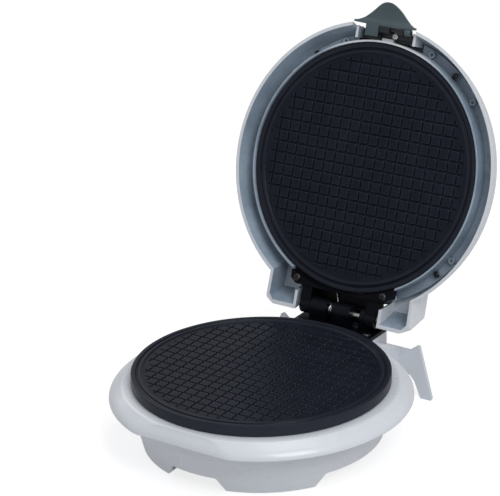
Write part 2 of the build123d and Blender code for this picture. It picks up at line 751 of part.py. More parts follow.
# ---------------------------------------------------------------- hinge, lid side
arm_in = 24.5
arm_out = 33.0
ear_low = 52.2
panel_top = 68.2
with BuildPart() as lid_hinge_bracket:
    with BuildSketch(Plane.XY.offset(ear_low)):
        with BuildLine():
            FilletPolyline(
                (-44, 78), (44, 78), (44, 93), (39, 97), (-39, 97), (-44, 93), radius=1.2, close=True,
            )
        make_face()
    extrude(amount=ear_top - ear_low)
    for side in (-1, 1):
        x0, x1 = sorted((side * arm_in, side * arm_out))
        add(side_slab(x0, x1, outline(Plane.YZ, (92.6, 57.5), (97, 54.5), (axis_y, 53.2), (axis_y, 66.4),
                                      (109.5, 67.4), (103.5, 67.4), (101, 66.0), (92.6, 63.0))))
        add(cross_rod(x0, x1, axis_y, axis_z, hub_r))
        # web between the arm and the lug beside it
        web0, web1 = sorted((side * (arm_out - 1), side * (lug_in - 0.2)))
        add(block(web0, web1, 95.7, 98.6, 56.0, panel_top))
    # panel that closes the space between the arms above the knuckles
    add(block(-arm_in - 1, arm_in + 1, 95.7, 107.5, 66.8, panel_top))
    add(block(-arm_in - 1, arm_in + 1, 95.7, 97.2, ear_low, panel_top))
    add(turned((0, 40), (97.2, 40), (97.2, 57.5), (95.6, 57.5), (95.6, 90), (0, 90)), mode=Mode.SUBTRACT)
    add(cross_rod(-40, 40, axis_y, axis_z, pin_r + running), mode=Mode.SUBTRACT)
    for x, y in ear_screws:
        add(post(x, y, 50, 70, screw_r), mode=Mode.SUBTRACT)
write(lid_hinge_bracket, "lid_hinge_bracket", lid_open)

with BuildPart() as lid_bracket_screws:
    for x, y in ear_screws:
        add(screw(x, y, ear_low, 16.0))
write(lid_bracket_screws, "lid_bracket_screws", lid_open)

# ---------------------------------------------------------------- latch
latch_hub_r = 3.0
mount_bearings = ((-4.2, 4.6), (11.0, 16.6))
flap_knuckles = ((-15.8, -4.8), (17.0, 22.0))
screw_seat = 59.0
with BuildPart() as latch_mount:
    add(block(-22.6, 22.6, -104.5, -97.7, 62.8, notch_roof))
    add(block(mount_bearings[0][0], 22.6, -104.4, -99.6, screw_seat, 63.0))
    for x0, x1 in mount_bearings:
        add(block(x0, x1, -109.0, -103.6, latch_z, notch_roof))
        add(cross_rod(x0, x1, latch_y, latch_z, latch_hub_r))
    add(cross_rod(-30, 30, latch_y, latch_z, latch_pin_r), mode=Mode.SUBTRACT)
    add(post(*latch_screw, 58, 70, screw_r), mode=Mode.SUBTRACT)
write(latch_mount, "latch_mount", lid_open)

with BuildPart() as latch_mount_screw:
    add(screw(*latch_screw, screw_seat, 10.0, head_r=2.6))
write(latch_mount_screw, "latch_mount_screw", lid_open)

with BuildPart() as latch_pin:
    add(cross_rod(flap_knuckles[0][0] - 0.5, flap_knuckles[1][1] + 0.5, latch_y, latch_z, latch_pin_r))
write(latch_pin, "latch_pin", lid_open)

flap_low = latch_z - 1.0
flap_high = latch_z + 2.0
hook_low = latch_z - 3.4
hook_inner = -124.6
flap_half = ((26.5, -109.8), (20.5, -112.8), (14.8, -116.5), (10.0, -121.3), (5.5, -125.0), (0, -126.4))
with BuildPart() as latch_flap:
    with BuildSketch(Plane.XY.offset(hook_low)):
        with BuildLine():
            right = Spline(*flap_half, tangents=[(-1, -0.25), (-1, 0)])
            mirror(right, about=Plane.YZ)
            Polyline((26.5, -109.8), (26.0, -109.3), (-26.0, -109.3), (-26.5, -109.8))
        make_face()
    extrude(amount=flap_high - hook_low)
    # all but the hook at the tip is cut back to the flap's thickness
    add(block(-30, 30, hook_inner, -100, hook_low - 1, flap_low), mode=Mode.SUBTRACT)
    for x0, x1 in flap_knuckles:
        add(cross_rod(x0, x1, latch_y, latch_z, latch_hub_r))
        add(block(x0, x1, -111, latch_y, flap_low, flap_high))
    # arm that turns with the left knuckle
    add(block(*flap_knuckles[0], -111, -99.4, latch_z - 3.1, latch_z + 0.2))
    add(cross_rod(-30, 30, latch_y, latch_z, latch_pin_r + running), mode=Mode.SUBTRACT)
write(latch_flap, "latch_flap", lid_open)
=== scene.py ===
import json
import math

import bmesh
import bpy
from mathutils import Matrix, Vector


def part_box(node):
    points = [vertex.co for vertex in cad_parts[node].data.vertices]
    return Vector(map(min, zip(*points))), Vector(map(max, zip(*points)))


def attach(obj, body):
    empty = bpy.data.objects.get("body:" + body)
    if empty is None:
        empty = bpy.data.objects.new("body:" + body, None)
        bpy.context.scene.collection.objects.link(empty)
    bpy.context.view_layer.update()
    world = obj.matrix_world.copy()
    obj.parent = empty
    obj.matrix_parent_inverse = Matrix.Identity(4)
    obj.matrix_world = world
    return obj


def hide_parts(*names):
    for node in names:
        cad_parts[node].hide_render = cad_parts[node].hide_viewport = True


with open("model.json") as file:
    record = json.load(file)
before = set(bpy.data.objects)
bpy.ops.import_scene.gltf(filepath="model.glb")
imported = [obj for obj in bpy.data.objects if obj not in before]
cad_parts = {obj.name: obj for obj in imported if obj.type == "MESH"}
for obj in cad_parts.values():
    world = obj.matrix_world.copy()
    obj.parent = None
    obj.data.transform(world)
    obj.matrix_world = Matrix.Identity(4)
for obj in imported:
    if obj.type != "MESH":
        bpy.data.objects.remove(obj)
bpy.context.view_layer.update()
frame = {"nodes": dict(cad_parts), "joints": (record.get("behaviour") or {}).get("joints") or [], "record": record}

MM = 0.001
nodes = frame["nodes"]


def joint_entry(name):
    return next(joint for joint in frame["joints"] if joint["name"] == name)


def hinge_turn():
    """The turn that takes a lid piece drawn closed to its resting, open place."""
    hinge = joint_entry("lid_hinge")
    place = Vector(hinge["pos_m"])
    angle = -math.radians(hinge["range_deg"][1])
    return Matrix.Translation(place) @ Matrix.Rotation(angle, 4, "X") @ Matrix.Translation(-place)


LID_OPEN = hinge_turn()
WHITE_TINTS = ((0.665, 0.705, 0.765), (0.715, 0.75, 0.805))
CHANNEL_PAINTED_SHADE = ((0.21, 0.27, 0.34), (0.37, 0.45, 0.54))    # the lid's inside, darkest and lightest: painted shade, the white plastic darkened to a dull blue where it faces away from the light
# painted light: the channel's lip beside the latch, made paler as if lit
LIP_PAINTED_LIGHT = (0.60, 0.65, 0.70)
LIP_HEIGHTS = (64.4 * MM, 63.6 * MM)      # where the painted light on the lip begins and is full, lid closed
LIP_FRONT = (-82.0 * MM, -91.0 * MM)
LID_MIDDLE = Vector((0, 0, 75 * MM))      # a point inside the closed lid
NOISE_LOW, NOISE_HIGH = 0.3, 0.7          # the range in which most of a noise's values lie
COAT_ROUGHNESS = 0.12
EDGE_SAMPLES = 6
HOUSING_EDGE = 0.7 * MM                   # radius that the shading gives the housings' edges
FLAT_TURN, SHARP_TURN = 0.995, 0.96       # cosines between which an edge counts as sharp


# ---------------------------------------------------------------- material building
def node_tree(name):
    """A new material with its node tree and its principled shader."""
    material = bpy.data.materials.new(name)
    material.use_nodes = True
    tree = material.node_tree
    shader = tree.nodes["Principled BSDF"]
    return material, tree, shader


def link(tree, source, target):
    tree.links.new(source, target)


def noise(tree, scale, detail=4.0, roughness=0.5, stretch=(1, 1, 1)):
    """A noise value in the piece's own coordinates; scale is in waves per metre."""
    place = tree.nodes.new("ShaderNodeTexCoord")
    mapping = tree.nodes.new("ShaderNodeMapping")
    mapping.inputs["Scale"].default_value = stretch
    texture = tree.nodes.new("ShaderNodeTexNoise")
    texture.inputs["Scale"].default_value = scale
    texture.inputs["Detail"].default_value = detail
    texture.inputs["Roughness"].default_value = roughness
    link(tree, place.outputs["Object"], mapping.inputs["Vector"])
    link(tree, mapping.outputs["Vector"], texture.inputs["Vector"])
    return texture.outputs["Fac"]


def ramp(tree, value, low, high):
    """Maps a noise value to a colour between low and high."""
    node = tree.nodes.new("ShaderNodeValToRGB")
    node.color_ramp.elements[0].position = NOISE_LOW
    node.color_ramp.elements[1].position = NOISE_HIGH
    node.color_ramp.elements[0].color = (*low, 1)
    node.color_ramp.elements[1].color = (*high, 1)
    link(tree, value, node.inputs["Fac"])
    return node.outputs["Color"]


def spread(tree, value, low, high):
    """Maps a noise value to a number between low and high."""
    node = tree.nodes.new("ShaderNodeMapRange")
    node.inputs["From Min"].default_value = NOISE_LOW
    node.inputs["From Max"].default_value = NOISE_HIGH
    node.inputs["To Min"].default_value = low
    node.inputs["To Max"].default_value = high
    link(tree, value, node.inputs["Value"])
    return node.outputs["Result"]


def tint(tree, shader, value, low, high):
    """Colours the surface between two tints by a value."""
    link(tree, ramp(tree, value, low, high), shader.inputs["Base Color"])


def gloss(tree, shader, value, low, high):
    """Makes the roughness uneven between two limits."""
    link(tree, spread(tree, value, low, high), shader.inputs["Roughness"])


def clear_coat(shader, weight):
    shader.inputs["Coat Weight"].default_value = weight
    shader.inputs["Coat Roughness"].default_value = COAT_ROUGHNESS


def blend_colour(tree, share, first, second):
    """Mixes two colours by a share."""
    node = tree.nodes.new("ShaderNodeMix")
    node.data_type = "RGBA"
    link(tree, share, node.inputs["Factor"])
    link(tree, first, node.inputs[6])
    if isinstance(second, tuple):
        node.inputs[7].default_value = (*second, 1)
    else:
        link(tree, second, node.inputs[7])
    return node.outputs[2]


def edge_wear_and_sheen(tree, low, high):
    """A share that is 1 on sharp outer edges and 0 elsewhere: real wear on the enamel, a painted highlight on the
    non-stick plates.
    """
    geometry = tree.nodes.new("ShaderNodeNewGeometry")
    node = tree.nodes.new("ShaderNodeMapRange")
    node.inputs["From Min"].default_value = low
    node.inputs["From Max"].default_value = high
    link(tree, geometry.outputs["Pointiness"], node.inputs["Value"])
    return node.outputs["Result"]


def soft_edges(tree, radius):
    """A normal that rounds the sharp edges and keeps the smooth faces as they are."""
    geometry = tree.nodes.new("ShaderNodeNewGeometry")
    soft = tree.nodes.new("ShaderNodeBevel")
    soft.samples = EDGE_SAMPLES
    soft.inputs["Radius"].default_value = radius
    turn = tree.nodes.new("ShaderNodeVectorMath")
    turn.operation = "DOT_PRODUCT"
    share = tree.nodes.new("ShaderNodeMapRange")
    share.inputs["From Min"].default_value = FLAT_TURN
    share.inputs["From Max"].default_value = SHARP_TURN
    mixed = tree.nodes.new("ShaderNodeMix")
    mixed.data_type = "VECTOR"
    link(tree, geometry.outputs["Normal"], turn.inputs[0])
    link(tree, soft.outputs["Normal"], turn.inputs[1])
    link(tree, turn.outputs["Value"], share.inputs["Value"])
    link(tree, share.outputs["Result"], mixed.inputs["Factor"])
    link(tree, geometry.outputs["Normal"], mixed.inputs[4])
    link(tree, soft.outputs["Normal"], mixed.inputs[5])
    return mixed.outputs[1]


def bump(tree, shader, value, height, edge_radius=0.0):
    """A fine relief, height in metres, over edges that are softened by a small radius."""
    node = tree.nodes.new("ShaderNodeBump")
    node.inputs["Distance"].default_value = height
    if edge_radius:
        link(tree, soft_edges(tree, edge_radius), node.inputs["Normal"])
    link(tree, value, node.inputs["Height"])
    link(tree, node.outputs["Normal"], shader.inputs["Normal"])


def moulded(name, low, high, rough, grain=900.0, grain_height=0.00002, coat=0.0, edge_radius=0.0004):
    """Moulded plastic: slow colour drift, fine grain and slightly uneven gloss."""
    material, tree, shader = node_tree(name)
    tint(tree, shader, noise(tree, 14, 3), low, high)
    gloss(tree, shader, noise(tree, 70, 5), rough - 0.05, rough + 0.06)
    clear_coat(shader, coat)
    bump(tree, shader, noise(tree, grain, 3), grain_height, edge_radius)
    return material


def inner_side(tree, origin, soft):
    """A share that is 1 where the surface faces an inner point of the piece, and 0 on its outside."""
    place = tree.nodes.new("ShaderNodeTexCoord")
    away = tree.nodes.new("ShaderNodeVectorMath")
    away.operation = "SUBTRACT"
    away.inputs[1].default_value = origin
    unit = tree.nodes.new("ShaderNodeVectorMath")
    unit.operation = "NORMALIZE"
    facing = tree.nodes.new("ShaderNodeVectorMath")
    facing.operation = "DOT_PRODUCT"
    share = tree.nodes.new("ShaderNodeMapRange")
    share.inputs["From Min"].default_value = soft
    share.inputs["From Max"].default_value = -soft
    link(tree, place.outputs["Object"], away.inputs[0])
    link(tree, away.outputs["Vector"], unit.inputs[0])
    link(tree, unit.outputs["Vector"], facing.inputs[0])
    link(tree, place.outputs["Normal"], facing.inputs[1])
    link(tree, facing.outputs["Value"], share.inputs["Value"])
    return share.outputs["Result"]


def painted_light_lip(tree):
    """A share that is 1 on the lid's inner lip beside the latch and 0 on the rest of the channel: where the
    painted light lies.
    """
    closed = LID_OPEN.inverted()
    place = tree.nodes.new("ShaderNodeTexCoord")
    turned = tree.nodes.new("ShaderNodeMapping")
    turned.inputs["Location"].default_value = closed.to_translation()
    turned.inputs["Rotation"].default_value = closed.to_euler()
    parts = tree.nodes.new("ShaderNodeSeparateXYZ")
    link(tree, place.outputs["Object"], turned.inputs["Vector"])
    link(tree, turned.outputs["Vector"], parts.inputs["Vector"])
    shares = []
    for output, (none, full) in (("Z", LIP_HEIGHTS), ("Y", LIP_FRONT)):
        share = tree.nodes.new("ShaderNodeMapRange")
        share.inputs["From Min"].default_value = none
        share.inputs["From Max"].default_value = full
        link(tree, parts.outputs[output], share.inputs["Value"])
        shares.append(share.outputs["Result"])
    both = tree.nodes.new("ShaderNodeMath")
    both.operation = "MULTIPLY"
    link(tree, shares[0], both.inputs[0])
    link(tree, shares[1], both.inputs[1])
    return both.outputs["Value"]


def white_moulding():
    """Satin white housing plastic with a faint blue cast and uneven gloss."""
    return moulded("white_moulding_look", *WHITE_TINTS, 0.30, grain=1500.0,
                   grain_height=0.000003, coat=0.35, edge_radius=HOUSING_EDGE)


def lid_moulding():
    """The lid's moulding: white outside and on its rim, and darkened to a dull blue inside as painted shade."""
    material, tree, shader = node_tree("lid_moulding_look")
    white = ramp(tree, noise(tree, 14, 3), *WHITE_TINTS)
    channel_shade = ramp(tree, noise(tree, 22, 4, 0.6), *CHANNEL_PAINTED_SHADE)
    # painted shade: faces that look into the lid take the darker channel colour
    inside = inner_side(tree, LID_OPEN @ LID_MIDDLE, 0.04)
    link(tree, blend_colour(tree, inside, white, channel_shade), shader.inputs["Base Color"])
    gloss(tree, shader, noise(tree, 70, 5), 0.24, 0.36)
    clear_coat(shader, 0.3)
    bump(tree, shader, noise(tree, 1500, 3), 0.000003, HOUSING_EDGE)
    return material


def nonstick():
    """Satin black non-stick coat: fine orange peel, faint mottling, and a painted highlight on its sharp edges."""
    material, tree, shader = node_tree("nonstick_look")
    body = ramp(tree, noise(tree, 60, 6, 0.6), (0.0068, 0.0084, 0.0150), (0.0118, 0.0140, 0.0230))
    # painted highlight: the sharp groove and bead edges are lightened as if they caught the light
    wear_and_sheen = edge_wear_and_sheen(tree, 0.515, 0.58)
    link(tree, blend_colour(tree, wear_and_sheen, body, (0.034, 0.039, 0.052)), shader.inputs["Base Color"])
    gloss(tree, shader, noise(tree, 300, 4), 0.28, 0.42)
    shader.inputs["Specular IOR Level"].default_value = 0.15
    shader.inputs["Specular Tint"].default_value = (0.78, 0.86, 1.0, 1)
    bump(tree, shader, noise(tree, 2600, 2), 0.00002)
    return material


def inner_frame_look():
    """Satin moulding of the lid's channel: its dull blue is painted shade, and a painted light makes its lip
    beside the latch paler.
    """
    material, tree, shader = node_tree("inner_frame_look")
    # painted shade: the channel's dull blue stands in for the shade inside the lid
    channel_shade = ramp(tree, noise(tree, 22, 4, 0.6), *CHANNEL_PAINTED_SHADE)
    # painted light on the lip, over the painted shade of the channel
    link(tree, blend_colour(tree, painted_light_lip(tree), channel_shade, LIP_PAINTED_LIGHT), shader.inputs["Base Color"])
    gloss(tree, shader, noise(tree, 90, 5), 0.24, 0.36)
    clear_coat(shader, 0.3)
    bump(tree, shader, noise(tree, 1300, 3), 0.000015, 0.0005)
    return material


def enamel(name, low, high, rough):
    """Semi-gloss black enamel on pressed steel, its edges lighter from wear."""
    material, tree, shader = node_tree(name)
    body = ramp(tree, noise(tree, 120, 5), low, high)
    wear_and_sheen = edge_wear_and_sheen(tree, 0.60, 0.80)
    link(tree, blend_colour(tree, wear_and_sheen, body, (0.020, 0.023, 0.032)), shader.inputs["Base Color"])
    shader.inputs["Specular IOR Level"].default_value = 0.10
    gloss(tree, shader, noise(tree, 400, 4), rough - 0.06, rough + 0.08)
    bump(tree, shader, noise(tree, 2200, 2), 0.00002, 0.0004)
    return material


def steel(name, low, high, rough):
    """Plated or bare metal with fine drawn lines."""
    material, tree, shader = node_tree(name)
    tint(tree, shader, noise(tree, 250, 5, 0.6, (1, 1, 8)), low, high)
    shader.inputs["Metallic"].default_value = 1.0
    gloss(tree, shader, noise(tree, 900, 3, 0.5, (6, 1, 1)), rough - 0.06, rough + 0.10)
    bump(tree, shader, noise(tree, 1800, 2, 0.5, (8, 1, 1)), 0.000008)
    return material


def braid(name):
    """Woven glass-fibre sleeve on the inner leads."""
    material, tree, shader = node_tree(name)
    weave = tree.nodes.new("ShaderNodeTexWave")
    weave.inputs["Scale"].default_value = 900
    place = tree.nodes.new("ShaderNodeTexCoord")
    link(tree, place.outputs["Object"], weave.inputs["Vector"])
    tint(tree, shader, weave.outputs["Fac"], (0.55, 0.53, 0.48), (0.80, 0.78, 0.73))
    shader.inputs["Roughness"].default_value = 0.85
    bump(tree, shader, weave.outputs["Fac"], 0.0001)
    return material


def lens(name, low, high):
    """Clear coloured lens of an indicator lamp."""
    material, tree, shader = node_tree(name)
    tint(tree, shader, noise(tree, 500, 2), low, high)
    shader.inputs["Roughness"].default_value = 0.12
    shader.inputs["Transmission Weight"].default_value = 0.45
    shader.inputs["Coat Weight"].default_value = 0.6
    bump(tree, shader, noise(tree, 900, 2), 0.00001)
    return material


LOOKS = {
    "white_moulding": white_moulding(),
    "cover_grey": moulded("cover_look", (0.50, 0.52, 0.55), (0.58, 0.60, 0.63), 0.5,
                          grain_height=0.00005),
    "rubber_grey": moulded("rubber_look", (0.03, 0.03, 0.032), (0.055, 0.055, 0.058), 0.75,
                           grain_height=0.00006),
    "nonstick_plate": nonstick(),
    "frame_blue_grey": inner_frame_look(),
    "lid_moulding": lid_moulding(),
    "bare_aluminium": steel("aluminium_look", (0.70, 0.71, 0.72), (0.82, 0.83, 0.84), 0.26),
    "element_sheath": steel("sheath_look", (0.12, 0.105, 0.095), (0.26, 0.235, 0.21), 0.48),
    "ceramic_body": moulded("ceramic_look", (0.62, 0.58, 0.49), (0.72, 0.68, 0.59), 0.6,
                            grain_height=0.00006),
    "terminal_plastic": moulded("terminal_look", (0.58, 0.55, 0.47), (0.66, 0.63, 0.55), 0.45),
    "lead_sleeve": braid("lead_look"),
    "black_moulding": moulded("black_moulding_look", (0.007, 0.010, 0.014), (0.016, 0.021, 0.027), 0.36,
                              grain_height=0.00003),
    "hinge_black": enamel("hinge_look", (0.0016, 0.0021, 0.0042), (0.0042, 0.0050, 0.0085), 0.34),
    "red_lens": lens("red_lens_look", (0.45, 0.01, 0.008), (0.70, 0.03, 0.02)),
    "green_lens": lens("green_lens_look", (0.02, 0.32, 0.06), (0.05, 0.52, 0.12)),
    "latch_grey": moulded("latch_look", (0.050, 0.080, 0.092), (0.076, 0.108, 0.122), 0.33,
                          grain_height=0.00002, coat=0.10),
    "zinc_steel": steel("zinc_look", (0.55, 0.56, 0.57), (0.72, 0.73, 0.74), 0.28),
    "black_screw": steel("black_screw_look", (0.04, 0.04, 0.042), (0.09, 0.09, 0.095), 0.36),
}
SPECIAL_LOOKS = {
    "lid_shell": "lid_moulding",
    "latch_pin": "black_screw",
    "lid_frame_screws": "black_screw",
}


def dress_cad_nodes():
    """Gives each CAD node the look of its material slot, or one of its own."""
    for entry in frame["record"]["subparts"]:
        piece = nodes[entry["node"]]
        piece.data.materials.clear()
        look = SPECIAL_LOOKS.get(entry["node"], entry["material_slot"])
        piece.data.materials.append(LOOKS[look])


# ---------------------------------------------------------------- mesh building
def smooth_step(low, high, value):
    """0 below low, 1 above high, and an eased rise between."""
    share = min(max((value - low) / (high - low), 0.0), 1.0)
    return share * share * (3 - 2 * share)


def finish_piece(name, shape, body, node, slot, place=None, sharp=40.0):
    """Turns a bmesh into a piece that rides on a body and stands for a CAD node."""
    if place is not None:
        shape.transform(place)
    bmesh.ops.recalc_face_normals(shape, faces=shape.faces)
    for edge in shape.edges:
        edge.smooth = edge.calc_face_angle(0.0) < math.radians(sharp)
    for face in shape.faces:
        face.smooth = True
    mesh = bpy.data.meshes.new(name)
    shape.to_mesh(mesh)
    shape.free()
    mesh.materials.append(LOOKS[slot])
    piece = bpy.data.objects.new(name, mesh)
    bpy.context.scene.collection.objects.link(piece)
    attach(piece, body)
    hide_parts(node)


# ---------------------------------------------------------------- baking plates
PITCH = 8.72 * MM
GROOVE_HALF = 0.62 * MM
GROOVE_DEPTH = 1.5 * MM
GRID_REACH = 83.6 * MM      # squares whose corners all lie within this radius are cut
STUB = 3.4 * MM             # how far a groove runs on past its last full square
CORNER = 1.2 * MM           # rounding of a square's corners in plan
FIELD_R = 85.2 * MM         # edge of the gridded field
EDGE_EASE = 0.3 * MM        # half the width over which a groove's wall slopes
END_EASE = 0.5 * MM         # and half the length over which its end does
FIELD_MARGIN = 0.4 * MM     # the grid's mesh stops this far inside the field's edge
FIELD_DEPTH = 1.0 * MM      # the squares' tops lie this far below the rim
PLATE_GAP = 0.3 * MM        # between the plates' rims, lid closed
LOWER_FLANGE = 8.5 * MM
UPPER_FLANGE = 9.2 * MM
# mesh lines across one square, from its groove's middle
CELL_STOPS = tuple(
    stop * MM for stop in (-1.7, -1.25, -0.92, -0.62, -0.3, 0.3, 0.62, 0.92, 1.25, 1.7, 3.2, 5.5)
)
# the plate's section, radius and depth in mm: from the field's edge over the bead, ring groove and rim
PLATE_SECTION = (
    (86.3, 1.0), (86.9, 0.85), (87.4, 0.2), (87.9, 0.0), (89.0, 0.0), (89.5, 0.2), (89.9, 1.1),
    (90.3, 1.3), (90.8, 1.3), (91.2, 1.1), (91.6, 0.2), (92.1, 0.0), (94.2, 0.0), (94.75, 0.2), (95.0, 0.7),
)
# and back under the flange, over the heater's channel walls
PLATE_BACK = (
    (86.0, 13.0), (70.0, 13.0), (70.0, 16.0), (66.4, 16.0), (66.4, 12.8),
    (57.6, 12.8), (57.6, 16.0), (54.0, 16.0), (54.0, 13.0), (20.0, 13.0),
)


def full_cell(column, row):
    """Whether the square between grid lines is inside the gridded circle."""
    far_x = max(abs(column), abs(column + 1)) * PITCH
    far_y = max(abs(row), abs(row + 1)) * PITCH
    return math.hypot(far_x, far_y) < GRID_REACH


def groove_reach(line):
    """How far the groove on a grid line runs from the plate's middle."""
    rows = [row + 1 for row in range(12) if full_cell(line, row) or full_cell(line - 1, row)]
    return max(rows) * PITCH + STUB if rows else 0.0


REACHES = {line: groove_reach(line) for line in range(-12, 13)}


def line_groove(across, along):
    """Depth share of the nearest groove that runs along one direction."""
    line = round(across / PITCH)
    reach = REACHES.get(line, 0.0)
    side = 1 - smooth_step(GROOVE_HALF - EDGE_EASE, GROOVE_HALF + EDGE_EASE, abs(across - line * PITCH))
    end = 1 - smooth_step(reach - END_EASE, reach + END_EASE, abs(along))
    return side * end


def rounded_square(x, y):
    """Depth share outside a full square's rounded corners."""
    column, row = math.floor(x / PITCH), math.floor(y / PITCH)
    if not full_cell(column, row):
        return 0.0
    half = PITCH / 2 - GROOVE_HALF - CORNER
    dx = max(abs(x - (column + 0.5) * PITCH) - half, 0.0)
    dy = max(abs(y - (row + 0.5) * PITCH) - half, 0.0)
    return smooth_step(-EDGE_EASE, EDGE_EASE, math.hypot(dx, dy) - CORNER)


def groove_share(x, y):
    return max(line_groove(x, y), line_groove(y, x), rounded_square(x, y))


def grid_stops():
    """Coordinates of the field's mesh lines, close together at the grooves."""
    lines = int(FIELD_R / PITCH) + 1
    stops = [line * PITCH + stop for line in range(-lines, lines + 1) for stop in CELL_STOPS]
    return [stop for stop in stops if abs(stop) < FIELD_R]


def plate_shape(face, way, flange):
    """A baking plate as one closed mesh: its body lies under its face (way -1) or over it (way 1)."""
    shape = bmesh.new()
    stops = grid_stops()
    field = {}
    for i, x in enumerate(stops):
        for j, y in enumerate(stops):
            if math.hypot(x, y) < FIELD_R - FIELD_MARGIN:
                depth = FIELD_DEPTH + GROOVE_DEPTH * groove_share(x, y)
                field[i, j] = shape.verts.new((x, y, face + way * depth))
    for i, j in list(field):
        corners = [field.get(key) for key in ((i, j), (i + 1, j), (i + 1, j + 1), (i, j + 1))]
        if all(corners):
            shape.faces.new(corners)
    loose = [vert for vert in shape.verts if not vert.link_faces]
    bmesh.ops.delete(shape, geom=loose, context="VERTS")
    rim = sorted(
        {vert for edge in shape.edges if edge.is_boundary for vert in edge.verts},
        key=lambda vert: math.atan2(vert.co.y, vert.co.x),
    )
    ring = []
    for vert in rim:
        away = FIELD_R / math.hypot(vert.co.x, vert.co.y)
        ring.append(shape.verts.new((vert.co.x * away, vert.co.y * away, face + way * FIELD_DEPTH)))
    edges = [edge for edge in shape.edges if edge.is_boundary]
    for edge in edges:
        first, second = (rim.index(vert) for vert in edge.verts)
        shape.faces.new((rim[first], rim[second], ring[second], ring[first]))
    under = flange / MM
    section = PLATE_SECTION + ((95.0, under - 1.1), (93.9, under), (86.0, under)) + PLATE_BACK
    directions = [Vector((vert.co.x, vert.co.y)).normalized() for vert in ring]
    for radius, depth in section:
        following = [
            shape.verts.new((way_out.x * radius * MM, way_out.y * radius * MM, face + way * depth * MM))
            for way_out in directions
        ]
        for index, vert in enumerate(ring):
            after = (index + 1) % len(ring)
            shape.faces.new((vert, ring[after], following[after], following[index]))
        ring = following
    centre = shape.verts.new((0, 0, face + way * section[-1][1] * MM))
    for index, vert in enumerate(ring):
        shape.faces.new((vert, ring[(index + 1) % len(ring)], centre))
    return shape


def add_plates():
    """Both baking plates, with soft-edged squares in place of the CAD's plain grooves."""
    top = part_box("lower_plate")[1][2]
    lower = plate_shape(top, -1, LOWER_FLANGE)
    finish_piece("lower_baking_plate", lower, "base", "lower_plate", "nonstick_plate")
    upper = plate_shape(top + PLATE_GAP, 1, UPPER_FLANGE)
    finish_piece("upper_baking_plate", upper, "lid", "upper_plate", "nonstick_plate", LID_OPEN)


# ---------------------------------------------------------------- latch flap
FLAP_HALF = 26.5 * MM       # half width at the lip
FLAP_REACH = 20.4 * MM      # from the pivot out to the tip
LIP_REACH = 2.6 * MM        # from the pivot out to the lip
END_DEPTH = 1.6 * MM        # what is left of the sheet at its two ends
FLAP_THICK = 1.9 * MM
FLAP_KNUCKLES = ((-15.8 * MM, -4.8 * MM), (17.0 * MM, 22.0 * MM))
KNUCKLE_R = 3.0 * MM
KNUCKLE_BORE = 1.35 * MM
BARREL_SIDES = 40
KNUCKLE_WEB = ((-5.6 * MM, -0.9 * MM), (-2.4 * MM, 1.9 * MM))    # Y and Z of its two corners
FLAP_ARM = ((-4.6 * MM, -3.1 * MM), (6.5 * MM, -1.3 * MM))
FLAP_COLUMNS = 36
FLAP_ROWS = 10


def flap_outline(across):
    """How far the bell reaches from the pivot at a distance from its middle line."""
    bell = 0.5 + 0.5 * math.cos(math.pi * min(abs(across) / FLAP_HALF, 1.0))
    return LIP_REACH + END_DEPTH + (FLAP_REACH - LIP_REACH - END_DEPTH) * bell


def flap_height(across, reach):
    """Height of the flap's face: flared at the lip, dished in the middle and curled at the tip."""
    share = (reach - LIP_REACH) / (FLAP_REACH - LIP_REACH)
    lip = 2.6 * MM * (1 - smooth_step(0.0, 0.30, share))
    curl = 2.6 * MM * smooth_step(0.55, 1.05, share)
    ends = 1.0 * MM * (across / FLAP_HALF) ** 2
    return 0.6 * MM - lip - curl - ends


def flap_sheet(shape):
    """The bell-shaped sheet, closed all round, about a pivot at the origin; outwards is -Y."""
    faces = []
    for offset in (0.0, FLAP_THICK):
        rows = []
        for row in range(FLAP_ROWS + 1):
            line = []
            for column in range(FLAP_COLUMNS + 1):
                across = FLAP_HALF * (2 * column / FLAP_COLUMNS - 1)
                bow = 0.8 * MM * (1 - (across / FLAP_HALF) ** 2)
                start = LIP_REACH - bow
                reach = start + (flap_outline(across) - start) * row / FLAP_ROWS
                line.append(shape.verts.new((across, -reach, flap_height(across, reach) + offset)))
            rows.append(line)
        faces.append(rows)
    under, over = faces
    for rows in faces:
        for row in range(FLAP_ROWS):
            for column in range(FLAP_COLUMNS):
                shape.faces.new((rows[row][column], rows[row][column + 1],
                                 rows[row + 1][column + 1], rows[row + 1][column]))
    for row in (0, FLAP_ROWS):
        for column in range(FLAP_COLUMNS):
            shape.faces.new((under[row][column], under[row][column + 1],
                             over[row][column + 1], over[row][column]))
    for column in (0, FLAP_COLUMNS):
        for row in range(FLAP_ROWS):
            shape.faces.new((under[row][column], under[row + 1][column],
                             over[row + 1][column], over[row][column]))


def soft_block(shape, low, high, radius):
    """A block between two corners, its edges rounded."""
    middle = (Vector(low) + Vector(high)) / 2
    size = Vector(high) - Vector(low)
    place = Matrix.Translation(middle) @ Matrix.Diagonal((*size, 1))
    made = bmesh.ops.create_cube(shape, size=1.0, matrix=place)
    edges = list(dict.fromkeys(edge for vert in made["verts"] for edge in vert.link_edges))
    bmesh.ops.bevel(shape, geom=edges, offset=radius, segments=3, affect="EDGES", profile=0.5)


def barrel(shape, start, end, radius, bore):
    """A knuckle along X with rounded ends, bored through."""
    lip = 0.5 * MM
    section = (
        (start, bore), (start, radius - lip), (start + lip, radius),
        (end - lip, radius), (end, radius - lip), (end, bore),
    )
    angles = [math.tau * step / BARREL_SIDES for step in range(BARREL_SIDES)]
    rings = [
        [shape.verts.new((x, r * math.cos(angle), r * math.sin(angle))) for angle in angles]
        for x, r in section
    ]
    for index, ring in enumerate(rings):
        following = rings[(index + 1) % len(rings)]
        for step in range(BARREL_SIDES):
            after = (step + 1) % BARREL_SIDES
            shape.faces.new((ring[step], ring[after], following[after], following[step]))


